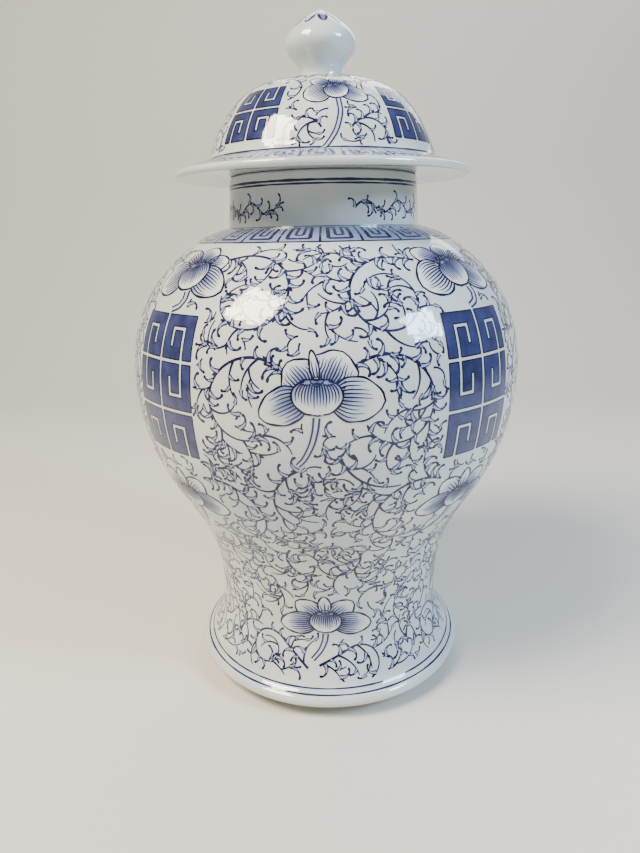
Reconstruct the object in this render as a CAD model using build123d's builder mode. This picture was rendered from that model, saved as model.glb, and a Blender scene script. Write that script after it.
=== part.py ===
"""Covered baluster jar in glazed porcelain.

The jar is luted together from five pieces of clay: foot ring, flared foot,
lower body, upper body and neck.  The loose lid is a domed shell with a wide
brim, a collar that drops inside the neck, and a knob shaped like a bud.

Millimetres, +Z up.  The foot ring stands on z = 0 and the axis of every
piece is Z, so each outline is drawn on Plane.XZ and revolved.
"""

import os

from build123d import *

# ---------------------------------------------------------------- the jar
# foot ring, the narrow bare ring that the jar stands on
foot_ring_r = 88.0
foot_ring_width = 11.0
foot_ring_height = 9.5
foot_ring_round = 1.5

# flared foot, from its rolled lip up to the waist
lip_r = 102.6
lip_thickness = 9.0
flare_r = 89.5
flare_rise = 24.0
waist_r = 83.6
waist_z = 57.0
floor_thickness = 9.0

# body, from the waist over the belly to the root of the neck
lower_body_r = 100.1
lower_body_z = 127.5
lower_belly_r = 119.0
lower_belly_z = 159.7
belly_r = 135.8
belly_z = 226.0
upper_belly_r = 119.6
upper_belly_z = 288.5
shoulder_r = 86.5
shoulder_z = 319.8
wall = 6.0

# neck
neck_root_r = 65.4
neck_root_z = 328.0
neck_top_r = 63.2
neck_height = 32.0
neck_wall = 6.5
neck_rim_round = 1.8

# ---------------------------------------------------------------- the lid
# domed shell and its brim, measured up from the seat on the neck's rim
brim_r = 99.0
brim_edge = 4.8
brim_droop = 1.4
brim_rise = 6.2
brim_plate = 6.0
dome_base_r = 77.0
dome_wall_r = 72.8
dome_wall_rise = 18.4
dome_haunch_r = 63.8
dome_haunch_rise = 35.6
dome_crown_r = 46.0
dome_crown_rise = 52.0
dome_height = 56.8
lid_wall = 5.5

# collar, which keeps the lid from sliding off
collar_clearance = 1.5
collar_wall = 5.0
collar_depth = 14.0

# knob, measured up from the top of the dome
knob_seat_r = 14.6
knob_neck_r = 13.4
knob_neck_rise = 7.2
knob_r = 22.9
knob_belly_rise = 21.8
knob_shoulder_r = 20.5
knob_shoulder_rise = 29.3
knob_upper_r = 13.6
knob_upper_rise = 35.6
knob_tip_r = 4.3
knob_tip_rise = 41.2
knob_height = 43.2

# ------------------------------------------------ sizes that follow on
lip_mid_z = foot_ring_height + lip_thickness / 2
lip_top_z = foot_ring_height + lip_thickness
cavity_floor_z = foot_ring_height + floor_thickness
neck_top_z = neck_root_z + neck_height

seat_z = neck_top_z
brim_low_z = seat_z - brim_droop
brim_top_z = brim_low_z + brim_edge
dome_base_z = brim_top_z + brim_rise
crown_z = seat_z + dome_height
collar_r = neck_top_r - neck_wall - collar_clearance
collar_inner_r = collar_r - collar_wall

# ------------------------------------------------------------ the outlines
with BuildLine() as jar_outline:
    foot_edge = Line((foot_ring_r, foot_ring_height), (lip_r - lip_thickness / 2, foot_ring_height))
    rolled_lip = ThreePointArc(foot_edge @ 1, (lip_r, lip_mid_z), (lip_r - lip_thickness / 3, lip_top_z))
    flare = Spline(
        rolled_lip @ 1,
        (flare_r, foot_ring_height + flare_rise),
        (waist_r, waist_z),
        tangents=((-1, 0.55), (0, 1)),
    )
    body = Spline(
        flare @ 1,
        (lower_body_r, lower_body_z),
        (lower_belly_r, lower_belly_z),
        (belly_r, belly_z),
        (upper_belly_r, upper_belly_z),
        (shoulder_r, shoulder_z),
        (neck_root_r, neck_root_z),
        tangents=((0, 1), (-1, 0.3)),
    )
    Line(body @ 1, (neck_top_r, neck_top_z))

with BuildLine() as lid_outline:
    Line((0, crown_z), (knob_seat_r, crown_z))
    dome = Spline(
        (knob_seat_r, crown_z),
        (dome_crown_r, seat_z + dome_crown_rise),
        (dome_haunch_r, seat_z + dome_haunch_rise),
        (dome_wall_r, seat_z + dome_wall_rise),
        (dome_base_r, dome_base_z),
        tangents=((1, 0), (0.6, -0.8)),
    )
    brim_slope = Line(dome @ 1, (brim_r - brim_edge / 2, brim_top_z))
    brim_roll = ThreePointArc(
        brim_slope @ 1,
        (brim_r, brim_top_z - brim_edge / 2),
        (brim_r - brim_edge / 2, brim_low_z),
    )
    underside = Line(brim_roll @ 1, (neck_root_r, seat_z))
    Line(underside @ 1, (0, seat_z))


def inset(line, amount, stations):
    """Points set in from a line by an amount, towards its left."""
    return [line @ t + (line % t).rotate(Axis.Z, 90) * amount for t in stations]


# ----------------------------------------------------------- the jar's clay
with BuildPart() as jar_clay:
    with BuildSketch(Plane.XZ):
        with BuildLine():
            add(jar_outline.line)
            Polyline(
                (neck_top_r, neck_top_z), (0, neck_top_z), (0, foot_ring_height), (foot_ring_r, foot_ring_height)
            )
        make_face()
    revolve(axis=Axis.Z)
    with BuildSketch(Plane.XZ):
        with BuildLine():
            hollow = Spline(
                *inset(flare, wall, (0.4, 0.7)),
                *inset(body, wall, (0, 0.12, 0.24, 0.36, 0.48, 0.6, 0.72, 0.84, 0.93, 1)),
            )
            Polyline(
                hollow @ 1,
                (neck_root_r - neck_wall, (hollow @ 1).Y),
                (neck_root_r - neck_wall, neck_root_z),
                (neck_top_r - neck_wall, neck_top_z),
                (0, neck_top_z),
                (0, cavity_floor_z),
                ((hollow @ 0).X, cavity_floor_z),
                hollow @ 0,
            )
        make_face()
    revolve(axis=Axis.Z, mode=Mode.SUBTRACT)


def jar_band(low, high):
    """The part of the jar's clay between two seams."""
    with BuildPart() as band:
        add(jar_clay.part)
        split(bisect_by=Plane.XY.offset(low), keep=Keep.TOP)
        split(bisect_by=Plane.XY.offset(high), keep=Keep.BOTTOM)
    return band.part


with BuildPart() as jar_foot_ring:
    with BuildSketch():
        Circle(foot_ring_r)
        Circle(foot_ring_r - foot_ring_width, mode=Mode.SUBTRACT)
    extrude(amount=foot_ring_height)
    fillet(jar_foot_ring.faces().sort_by(Axis.Z)[0].edges(), foot_ring_round)

with BuildPart() as jar_foot:
    add(jar_band(foot_ring_height, waist_z))

with BuildPart() as jar_lower_body:
    add(jar_band(waist_z, belly_z))

with BuildPart() as jar_upper_body:
    add(jar_band(belly_z, neck_root_z))

with BuildPart() as jar_neck:
    add(jar_band(neck_root_z, neck_top_z))
    fillet(jar_neck.faces().sort_by(Axis.Z)[-1].edges(), neck_rim_round)


# ----------------------------------------------------------------- the lid
with BuildPart() as lid_shell:
    with BuildSketch(Plane.XZ):
        with BuildLine():
            add(lid_outline.line)
            Line((0, seat_z), (0, crown_z))
        make_face()
    revolve(axis=Axis.Z)
    with BuildSketch(Plane.XZ):
        with BuildLine():
            hollow = Spline(*inset(dome, -lid_wall, (0, 0.2, 0.4, 0.6, 0.8, 1)))
            Polyline(
                hollow @ 1,
                (collar_inner_r, seat_z + brim_plate),
                (collar_inner_r, seat_z),
                (0, seat_z),
                (0, crown_z - lid_wall),
                hollow @ 0,
            )
        make_face()
    revolve(axis=Axis.Z, mode=Mode.SUBTRACT)

with BuildPart() as lid_collar:
    with BuildSketch(Plane.XY.offset(seat_z - collar_depth)):
        Circle(collar_r)
        Circle(collar_inner_r, mode=Mode.SUBTRACT)
    extrude(amount=collar_depth)
    chamfer(lid_collar.faces().sort_by(Axis.Z)[0].edges(), collar_wall / 5)

with BuildPart() as lid_knob:
    with BuildSketch(Plane.XZ):
        with BuildLine():
            Line((0, crown_z), (knob_seat_r, crown_z))
            bud = Spline(
                (knob_seat_r, crown_z),
                (knob_neck_r, crown_z + knob_neck_rise),
                (knob_r, crown_z + knob_belly_rise),
                (knob_shoulder_r, crown_z + knob_shoulder_rise),
                (knob_upper_r, crown_z + knob_upper_rise),
                (knob_tip_r, crown_z + knob_tip_rise),
                tangents=((-0.5, 1), (-1, 0.5)),
            )
            Polyline(bud @ 1, (0, crown_z + knob_height), (0, crown_z))
        make_face()
    revolve(axis=Axis.Z)


# ------------------------------------------------------------------ export
os.makedirs("parts", exist_ok=True)
for piece, name in (
    (jar_foot_ring, "jar_foot_ring"),
    (jar_foot, "jar_foot"),
    (jar_lower_body, "jar_lower_body"),
    (jar_upper_body, "jar_upper_body"),
    (jar_neck, "jar_neck"),
    (lid_shell, "lid_shell"),
    (lid_collar, "lid_collar"),
    (lid_knob, "lid_knob"),
):
    piece.part.label = name
    export_step(piece.part, f"parts/{name}.step")
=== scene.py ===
"""Looks of the covered baluster jar: white glaze with vines, flowers and fret panels in cobalt.

Two turned skins, the jar's and the lid's, are revolved from the outline of the
CAD nodes.  Everything painted is drawn flat first, in a chart of the turned
surface that keeps angles, and a Geometry Nodes tree repeats it and lays it on
the glaze a few hundredths of a millimetre proud.

In a chart, x is the angle round the axis in radians, 0 at the front and
growing to the viewer's right, and y is the integral of ds / r up the outline.
"""

import logging
import math
import random
from dataclasses import dataclass, field, replace
from enum import Enum
from typing import Any, Callable, Iterable, Sequence

import bpy
import numpy as np
from mathutils import Matrix, Vector


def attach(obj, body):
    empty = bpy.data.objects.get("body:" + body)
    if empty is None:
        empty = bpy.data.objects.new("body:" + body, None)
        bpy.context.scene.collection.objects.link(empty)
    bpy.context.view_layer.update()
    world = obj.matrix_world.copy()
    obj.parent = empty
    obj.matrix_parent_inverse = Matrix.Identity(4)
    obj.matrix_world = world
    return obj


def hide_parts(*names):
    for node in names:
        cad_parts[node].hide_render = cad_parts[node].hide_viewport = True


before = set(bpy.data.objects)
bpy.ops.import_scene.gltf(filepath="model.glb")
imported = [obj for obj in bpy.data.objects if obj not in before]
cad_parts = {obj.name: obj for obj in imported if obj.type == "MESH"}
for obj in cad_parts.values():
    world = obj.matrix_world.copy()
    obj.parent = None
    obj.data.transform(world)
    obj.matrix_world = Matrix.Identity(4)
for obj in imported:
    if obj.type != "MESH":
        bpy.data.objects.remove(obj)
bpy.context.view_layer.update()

LOG = logging.getLogger("jar")
MM = 0.001
TAU = math.tau

Point = tuple[float, float]
Triple = tuple[float, float, float]
Ink = tuple[float, float, float, float]
Socket = bpy.types.NodeSocket


def ink(red: int, green: int, blue: int) -> Ink:
    """A colour given as a screen shows it, 0 to 255, made linear for the shader."""
    linear = [((c / 255 + 0.055) / 1.055) ** 2.4 for c in (red, green, blue)]
    return (*linear, 1.0)


# --------------------------------------------------------------------- nodes


class Value:
    """A number that flows between nodes; arithmetic on it adds Math nodes."""

    def __init__(self, wiring: "Wiring", socket: Socket) -> None:
        """Wraps one output socket of the wiring's tree."""
        self.wiring = wiring
        self.socket = socket

    def __add__(self, other: "Value | float") -> "Value":
        """Sum."""
        return self.wiring.math("ADD", self, other)

    __radd__ = __add__

    def __mul__(self, other: "Value | float") -> "Value":
        """Product."""
        return self.wiring.math("MULTIPLY", self, other)

    __rmul__ = __mul__

    def __sub__(self, other: "Value | float") -> "Value":
        """Difference."""
        return self.wiring.math("SUBTRACT", self, other)

    def __rsub__(self, other: "Value | float") -> "Value":
        """Difference with the number on the left."""
        return self.wiring.math("SUBTRACT", other, self)

    def __truediv__(self, other: "Value | float") -> "Value":
        """Quotient."""
        return self.wiring.math("DIVIDE", self, other)

    def __rtruediv__(self, other: "Value | float") -> "Value":
        """Quotient with the number on top."""
        return self.wiring.math("DIVIDE", other, self)


class Wiring:
    """Adds nodes to one tree, of a material or of Geometry Nodes."""

    def __init__(self, tree: bpy.types.NodeTree) -> None:
        """Starts from an empty tree."""
        self.tree = tree
        self.tree.nodes.clear()

    def node(
        self, kind: str, settings: dict[str, Any] | None = None, sockets: dict[Any, Any] | None = None
    ) -> bpy.types.Node:
        """Adds one node.

        Args:
            kind: the node's type.
            settings: its own properties, set first; "stops" are a ramp's stops.
            sockets: values or links for its inputs, by name or by number.

        Returns:
            The new node.
        """
        made = self.tree.nodes.new(kind)
        for name, setting in (settings or {}).items():
            if name == "stops":
                ramp = made.color_ramp.elements
                while len(ramp) < len(setting):
                    ramp.new(1.0)
                for stop, (place, colour) in zip(ramp, setting):
                    stop.position, stop.color = place, colour
            else:
                setattr(made, name, setting)
        for name, value in (sockets or {}).items():
            self.feed(made.inputs[name], value)
        return made

    def feed(self, socket: Socket, value: Any) -> None:
        """Links or sets one input.

        Args:
            socket: the input.
            value: a Value or a socket to link, or what to set it to.
        """
        if isinstance(value, Value):
            value = value.socket
        if isinstance(value, Socket):
            self.tree.links.new(value, socket)
        else:
            socket.default_value = value

    def math(self, operation: str, *numbers: "Value | float") -> Value:
        """One Math node on one to three numbers."""
        made = self.node("ShaderNodeMath", {"operation": operation}, dict(enumerate(numbers)))
        return Value(self, made.outputs[0])

    def vector(self, operation: str, *vectors: Any) -> Socket:
        """One Vector Math node.

        Args:
            operation: its name.
            vectors: its operands; the last operand of SCALE is a number.

        Returns:
            The resulting vector.
        """
        sockets = dict(enumerate(vectors))
        if operation == "SCALE":
            sockets = {0: vectors[0], "Scale": vectors[1]}
        return self.node("ShaderNodeVectorMath", {"operation": operation}, sockets).outputs[0]

    def split(self, vector: Any) -> tuple[Value, Value, Value]:
        """The three numbers of a vector."""
        parts = self.node("ShaderNodeSeparateXYZ", {}, {0: vector}).outputs
        return Value(self, parts[0]), Value(self, parts[1]), Value(self, parts[2])

    def join(self, x: Any, y: Any, z: Any) -> Socket:
        """A vector of three numbers."""
        return self.node("ShaderNodeCombineXYZ", {}, {0: x, 1: y, 2: z}).outputs[0]

    def noise(self, place: Any, scale: float, detail: float, roughness: float = 0.5) -> Value:
        """Noise at a place, about 0 to 1."""
        sockets = {"Vector": place, "Scale": scale, "Detail": detail, "Roughness": roughness}
        return Value(self, self.node("ShaderNodeTexNoise", {}, sockets).outputs["Fac"])

    def cells(self, place: Any, scale: float) -> Value:
        """How far a place is from the nearest of many scattered points."""
        made = self.node("ShaderNodeTexVoronoi", {"feature": "F1"}, {"Vector": place, "Scale": scale})
        return Value(self, made.outputs["Distance"])

    def ramp(self, amount: Value, *stops: tuple[float, Ink]) -> Socket:
        """The colour at an amount, between stops along 0 to 1."""
        return self.node("ShaderNodeValToRGB", {"stops": stops}, {"Fac": amount}).outputs["Color"]

    def blend(self, share: Value, first: Any, second: Any) -> Socket:
        """One colour turned into another by a share."""
        made = self.node("ShaderNodeMix", {"data_type": "RGBA"}, {0: share, 6: first, 7: second})
        return made.outputs[2]


class Workshop(Wiring):
    """A Geometry Nodes tree with named inputs."""

    def __init__(self, name: str) -> None:
        """Makes the tree with its input and output nodes."""
        super().__init__(bpy.data.node_groups.new(name, "GeometryNodeTree"))
        self.tree.interface.new_socket("Geometry", in_out="OUTPUT", socket_type="NodeSocketGeometry")
        self.entry = self.tree.nodes.new("NodeGroupInput")
        self.names: dict[str, str] = {}

    def input(self, name: str, kind: str) -> Socket:
        """Adds a named input to the tree.

        Args:
            name: what make() calls it.
            kind: the end of its socket type's name.

        Returns:
            Its socket inside the tree.
        """
        made = self.tree.interface.new_socket(name, in_out="INPUT", socket_type=f"NodeSocket{kind}")
        self.names[name] = made.identifier
        return self.entry.outputs[made.identifier]

    def geometry(self, thing: Socket) -> Socket:
        """The mesh of an object that comes in through an input."""
        return self.node("GeometryNodeObjectInfo", {}, {"Object": thing}).outputs["Geometry"]

    def position(self) -> Socket:
        """Where each point is."""
        return self.node("GeometryNodeInputPosition").outputs[0]

    def attribute(self, name: str, kind: str = "FLOAT") -> Value:
        """A named attribute of the geometry."""
        made = self.node("GeometryNodeInputNamedAttribute", {"data_type": kind}, {"Name": name})
        return Value(self, made.outputs["Attribute"])

    def sample(self, geometry: Any, value: Any, index: Any) -> Socket:
        """A vector read from one point of another geometry.

        Args:
            geometry: what it is read from.
            value: the vector that is evaluated there.
            index: the point's number.

        Returns:
            The vector.
        """
        return self.node(
            "GeometryNodeSampleIndex",
            {"data_type": "FLOAT_VECTOR", "domain": "POINT"},
            {"Geometry": geometry, "Value": value, "Index": index},
        ).outputs[0]

    def end(self, geometry: Any, material: Any) -> None:
        """Finishes the tree with Realize Instances and Set Material.

        Args:
            geometry: what the tree has made.
            material: its look.
        """
        real = self.node("GeometryNodeRealizeInstances", {}, {"Geometry": geometry}).outputs[0]
        dressed = self.node(
            "GeometryNodeSetMaterial", {}, {"Geometry": real, "Material": material}
        ).outputs[0]
        self.node("NodeGroupOutput", {}, {"Geometry": dressed})

    def make(self, name: str, **inputs: Any) -> bpy.types.Object:
        """Runs the tree on an empty mesh and keeps the result as a plain mesh.

        Args:
            name: the new piece's name.
            inputs: the tree's inputs, with _ for the spaces in their names.

        Returns:
            The piece, at the origin and with no modifier.
        """
        holder = bpy.data.objects.new(name, bpy.data.meshes.new(name))
        bpy.context.scene.collection.objects.link(holder)
        modifier = holder.modifiers.new(name, "NODES")
        modifier.node_group = self.tree
        for key, value in inputs.items():
            modifier[self.names[key.replace("_", " ")]] = value
        bpy.context.view_layer.update()
        graph = bpy.context.evaluated_depsgraph_get()
        plain = bpy.data.meshes.new_from_object(holder.evaluated_get(graph))
        holder.modifiers.remove(modifier)
        holder.data = plain
        plain.name = name
        return holder


def turned_tree() -> Workshop:
    """The tree that revolves an outline about Z into a closed skin.

    Returns:
        The tree, with inputs Outline, Rows, Around and Material.
    """
    shop = Workshop("Turned skin")
    outline = shop.geometry(shop.input("Outline", "Object"))
    rows = Value(shop, shop.input("Rows", "Int"))
    around = Value(shop, shop.input("Around", "Int"))
    material = shop.input("Material", "Material")
    grid = shop.node(
        "GeometryNodeMeshGrid",
        {},
        {"Size X": 1.0, "Size Y": 1.0, "Vertices X": around + 1, "Vertices Y": rows},
    ).outputs["Mesh"]
    x, y, _ = shop.split(shop.position())
    turn = (x + 0.5) * TAU
    row = shop.math("ROUND", (y + 0.5) * (rows - 1))
    radius, _, height = shop.split(shop.sample(outline, shop.position(), row))
    place = shop.join(
        radius * shop.math("SINE", turn), radius * shop.math("COSINE", turn) * -1.0, height
    )
    skin = shop.node("GeometryNodeSetPosition", {}, {"Geometry": grid, "Position": place}).outputs[0]
    skin = shop.node(
        "GeometryNodeMergeByDistance", {}, {"Geometry": skin, "Distance": 2e-6}
    ).outputs[0]
    angle = shop.node("GeometryNodeInputMeshEdgeAngle").outputs["Unsigned Angle"]
    soft = shop.node("FunctionNodeCompare", {"operation": "LESS_THAN"}, {0: angle, 1: 0.6}).outputs[0]
    skin = shop.node(
        "GeometryNodeSetShadeSmooth", {"domain": "EDGE"}, {"Geometry": skin, "Shade Smooth": soft}
    ).outputs[0]
    shop.end(skin, material)
    return shop


def painted_tree() -> Workshop:
    """The tree that repeats a flat motif and lays it on a turned surface.

    Returns:
        The tree, with inputs for the motif, its places, the chart and the number of copies.
    """
    shop = Workshop("Painted on the glaze")
    motif = shop.geometry(shop.input("Motif", "Object"))
    places = shop.geometry(shop.input("Places", "Object"))
    chart = shop.geometry(shop.input("Chart", "Object"))
    start = Value(shop, shop.input("Chart start", "Float"))
    step = Value(shop, shop.input("Chart step", "Float"))
    last = Value(shop, shop.input("Chart last", "Float"))
    copies = Value(shop, shop.input("Copies", "Int"))
    lift = Value(shop, shop.input("Lift", "Float"))
    turn_all = Value(shop, shop.input("Turn", "Float"))
    material = shop.input("Material", "Material")

    turn = shop.node("FunctionNodeEulerToRotation", {}, {0: shop.join(0.0, 0.0, shop.attribute("turn"))})
    size = shop.attribute("size")
    tile = shop.node(
        "GeometryNodeInstanceOnPoints",
        {},
        {
            "Points": places,
            "Instance": motif,
            "Rotation": turn.outputs[0],
            "Scale": shop.join(size, size, 1.0),
        },
    ).outputs[0]
    ring = shop.node(
        "GeometryNodeMeshLine",
        {"mode": "OFFSET"},
        {"Count": copies, "Offset": shop.join(TAU / copies, 0.0, 0.0)},
    ).outputs[0]
    tiles = shop.node(
        "GeometryNodeInstanceOnPoints", {}, {"Points": ring, "Instance": tile}
    ).outputs[0]
    flat = shop.node("GeometryNodeRealizeInstances", {}, {"Geometry": tiles}).outputs[0]

    x, y, proud = shop.split(shop.position())
    turned = x + turn_all
    spot = shop.math("MAXIMUM", shop.math("MINIMUM", (y - start) / step, last), 0.0)
    low = shop.math("FLOOR", spot)
    share = spot - low
    ends = []
    for value in (shop.position(), shop.attribute("outward", "FLOAT_VECTOR").socket):
        below, above = shop.sample(chart, value, low), shop.sample(chart, value, low + 1.0)
        between = shop.vector("SCALE", shop.vector("SUBTRACT", above, below), share.socket)
        ends.append(shop.vector("ADD", below, between))
    raised = shop.vector("SCALE", ends[1], (proud + lift).socket)
    radius, _, height = shop.split(shop.vector("ADD", ends[0], raised))
    laid = shop.join(
        radius * shop.math("SINE", turned), radius * shop.math("COSINE", turned) * -1.0, height
    )
    wrapped = shop.node("GeometryNodeSetPosition", {}, {"Geometry": flat, "Position": laid}).outputs[0]
    smooth = shop.node("GeometryNodeSetShadeSmooth", {}, {"Geometry": wrapped}).outputs[0]
    shop.end(smooth, material)
    return shop


# ------------------------------------------------------------------ finishes


class Gloss(Enum):
    """How shiny a fired surface is, as the roughness of its smooth parts."""

    WET = 0.07
    BARE = 0.78


@dataclass(frozen=True)
class Fired:
    """A finish built from nodes: colour, roughness, a slight waviness and fine pits.

    A subclass says its colour in `colour`.
    """

    name: str
    gloss: Gloss = Gloss.WET
    coat: float = 0.5
    ripple: float = 0.00012
    ripple_scale: float = 26.0
    smear_scale: float = 60.0
    pit_scale: float = 420.0
    pit_depth: float = 0.03

    def colour(self, mix: Wiring, place: Socket) -> Socket:
        """The base colour's socket at a place on the piece."""
        raise NotImplementedError

    def make(self) -> bpy.types.Material:
        """Builds the material.

        Returns:
            The material, which reads Object coordinates.
        """
        made = bpy.data.materials.new(self.name)
        made.use_nodes = True
        mix = Wiring(made.node_tree)
        place = mix.node("ShaderNodeTexCoord").outputs["Object"]
        rough = mix.noise(place, self.smear_scale, 3.0) * (self.gloss.value * 0.5) + self.gloss.value * 0.75
        pit = mix.math("MINIMUM", mix.cells(place, self.pit_scale) * 6.0, 1.0)
        relief = mix.noise(place, self.ripple_scale, 1.0) + pit * self.pit_depth
        bump = mix.node("ShaderNodeBump", {}, {"Height": relief, "Distance": self.ripple, "Strength": 1.0})
        shader = mix.node(
            "ShaderNodeBsdfPrincipled",
            {},
            {
                "Base Color": self.colour(mix, place),
                "Roughness": rough,
                "Normal": bump.outputs["Normal"],
                "Coat Weight": self.coat,
                "Coat Roughness": 0.04,
                "IOR": 1.5,
            },
        )
        mix.node("ShaderNodeOutputMaterial", {}, {"Surface": shader.outputs[0]})
        return made


@dataclass(frozen=True)
class WhiteGlaze(Fired):
    """Bluish white glaze, greyer where it ran thick, with a few iron specks."""

    white: Ink = ink(212, 216, 209)
    thick: Ink = ink(182, 196, 207)
    speck: Ink = ink(120, 112, 96)
    cloud_scale: float = 11.0
    speck_scale: float = 38.0
    speck_radius: float = 0.022

    def colour(self, mix: Wiring, place: Socket) -> Socket:
        """White to pale blue in clouds, with specks.

        Args:
            mix: the material's wiring.
            place: where on the piece.

        Returns:
            The colour.
        """
        cloud = mix.noise(place, self.cloud_scale, 4.0, 0.6)
        clouds = mix.ramp(cloud, (0.35, self.white), (0.75, self.thick))
        dot = mix.math("LESS_THAN", mix.cells(place, self.speck_scale), self.speck_radius) * 0.5
        return mix.blend(dot, clouds, self.speck)


@dataclass(frozen=True)
class CobaltPaint(Fired):
    """Cobalt brushed under the glaze: bare white at tone 0, full blue at 1.

    The mesh's "tone" says how much colour the brush left, and "edge" is 1 along
    the outline of a stroke, where the colour gathers.
    """

    bare: Ink = ink(213, 219, 216)
    pale: Ink = ink(142, 152, 186)
    middle: Ink = ink(70, 78, 126)
    full: Ink = ink(24, 27, 60)
    gather: float = 0.85
    gather_from: float = 0.42
    uneven: float = 0.3
    wash_scale: float = 130.0

    def colour(self, mix: Wiring, place: Socket) -> Socket:
        """The blue at the stroke's tone, darker along its outline.

        Args:
            mix: the material's wiring.
            place: where on the piece.

        Returns:
            The colour.
        """
        tone, edge = (
            Value(mix, mix.node("ShaderNodeAttribute", {"attribute_name": name}).outputs["Fac"])
            for name in ("tone", "edge")
        )
        drawn = mix.math("MINIMUM", mix.math("MAXIMUM", (edge - self.gather_from) * 9.0, 0.0), 1.0)
        load = (mix.noise(place, self.wash_scale, 3.0) - 0.5) * self.uneven
        body = tone + tone * load * 2.0
        gathered = drawn * mix.math("MAXIMUM", 1.0 - body, 0.0) * self.gather
        amount = body + gathered + drawn * load
        return mix.ramp(amount, (0.0, self.bare), (0.3, self.pale), (0.65, self.middle), (1.0, self.full))


@dataclass(frozen=True)
class BareClay(Fired):
    """Unglazed porcelain clay, cream, toasted in patches, with dirt in its grain."""

    cream: Ink = ink(214, 200, 176)
    toasted: Ink = ink(178, 146, 108)
    dirt: Ink = ink(120, 108, 94)
    patch_scale: float = 28.0
    grain_scale: float = 700.0

    def colour(self, mix: Wiring, place: Socket) -> Socket:
        """Cream with toasted patches and a little dirt.

        Args:
            mix: the material's wiring.
            place: where on the piece.

        Returns:
            The colour.
        """
        patch = mix.noise(place, self.patch_scale, 4.0)
        patches = mix.ramp(patch, (0.4, self.cream), (0.72, self.toasted))
        grime = mix.math("MAXIMUM", mix.noise(place, self.grain_scale, 2.0) - 0.55, 0.0) * 1.6
        return mix.blend(grime, patches, self.dirt)


# ------------------------------------------------- outlines, charts, flat art


def seam_outline(nodes: Sequence[str]) -> list[Point]:
    """The outline of several CAD nodes as one skin, in the half-plane of +X.

    Args:
        nodes: nodes that meet face to face; the faces they share drop out.

    Returns:
        (radius, height) points, from the lower end on the axis to the upper.
    """
    edges: dict[frozenset[Point], int] = {}
    for name in nodes:
        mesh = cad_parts[name].data
        on_seam = {
            v.index: (round(v.co.x, 7), round(v.co.z, 7))
            for v in mesh.vertices
            if abs(v.co.y) < 1e-6 and v.co.x > -1e-6
        }
        own = set()
        for edge in mesh.edges:
            a, b = (on_seam.get(i) for i in edge.vertices)
            if a and b and a != b:
                own.add(frozenset((a, b)))
        for pair in own:
            edges[pair] = edges.get(pair, 0) + 1
    near: dict[Point, list[Point]] = {}
    for pair, count in edges.items():
        if count == 1:
            a, b = tuple(pair)
            near.setdefault(a, []).append(b)
            near.setdefault(b, []).append(a)
    ends = sorted((p for p in near if len(near[p]) == 1), key=lambda p: p[1])
    start = ends[0] if ends else min(near)
    path = [start, near[start][0]]
    while path[-1] != start and len(near[path[-1]]) == 2:
        path.append(next(p for p in near[path[-1]] if p != path[-2]))
    if ends:
        path = [(0.0, path[0][1]), *path, (0.0, path[-1][1])]
    return [p for p, after in zip(path, [*path[1:], None]) if p != after]


def smoothed(path: Sequence[Point], step: float = 3.4 * MM, corner: float = 24.0) -> np.ndarray:
    """The path with short steps, curved between its corners.

    Args:
        path: the outline's points.
        step: the longest step in the result.
        corner: a turn of more degrees than this stays sharp.

    Returns:
        An array of (radius, height).
    """
    points = np.array(path)
    along = np.diff(points, axis=0)
    length = np.linalg.norm(along, axis=1)
    heading = np.arctan2(along[:, 1], along[:, 0])
    turn = np.abs((np.diff(heading) + math.pi) % TAU - math.pi)
    sharp = {0, len(points) - 1, *(np.nonzero(turn > math.radians(corner))[0] + 1).tolist()}
    unit = along / length[:, None]
    out = [points[0]]
    for i, size in enumerate(length):
        slopes = []
        for j in (i, i + 1):
            if j in sharp:
                slopes.append(unit[i])
                continue
            mean = unit[j - 1] * length[j] + unit[j] * length[j - 1]
            slopes.append(mean / np.linalg.norm(mean))
        count = max(1, math.ceil(size / step))
        for t in np.arange(1, count + 1) / count:
            a, b = t**3 - 2 * t**2 + t, t**3 - t**2
            ends = points[i] * (1 + 2 * t) * (1 - t) ** 2 + points[i + 1] * t**2 * (3 - 2 * t)
            out.append(ends + size * (a * slopes[0] + b * slopes[1]))
    return np.array(out)


def mesh_object(
    name: str,
    points: Sequence[Sequence[float]],
    edges: Sequence[Sequence[int]] = (),
    faces: Sequence[Sequence[int]] = (),
    numbers: dict[str, Sequence[float]] | None = None,
    vectors: dict[str, Sequence[Sequence[float]]] | None = None,
) -> bpy.types.Object:
    """A mesh object with named attributes on its points.

    Args:
        name: of the object and its mesh.
        points: where its points are.
        edges: pairs of points.
        faces: rings of points.
        numbers: an attribute's name and its number at every point.
        vectors: an attribute's name and its vector at every point.

    Returns:
        The object, in the scene.
    """
    mesh = bpy.data.meshes.new(name)
    mesh.from_pydata([tuple(p) for p in points], [tuple(e) for e in edges], [tuple(f) for f in faces])
    for key, row in (numbers or {}).items():
        mesh.attributes.new(key, "FLOAT", "POINT").data.foreach_set("value", np.array(row, float))
    for key, rows in (vectors or {}).items():
        flat = np.array(rows, float).ravel()
        mesh.attributes.new(key, "FLOAT_VECTOR", "POINT").data.foreach_set("vector", flat)
    made = bpy.data.objects.new(name, mesh)
    bpy.context.scene.collection.objects.link(made)
    return made


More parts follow.
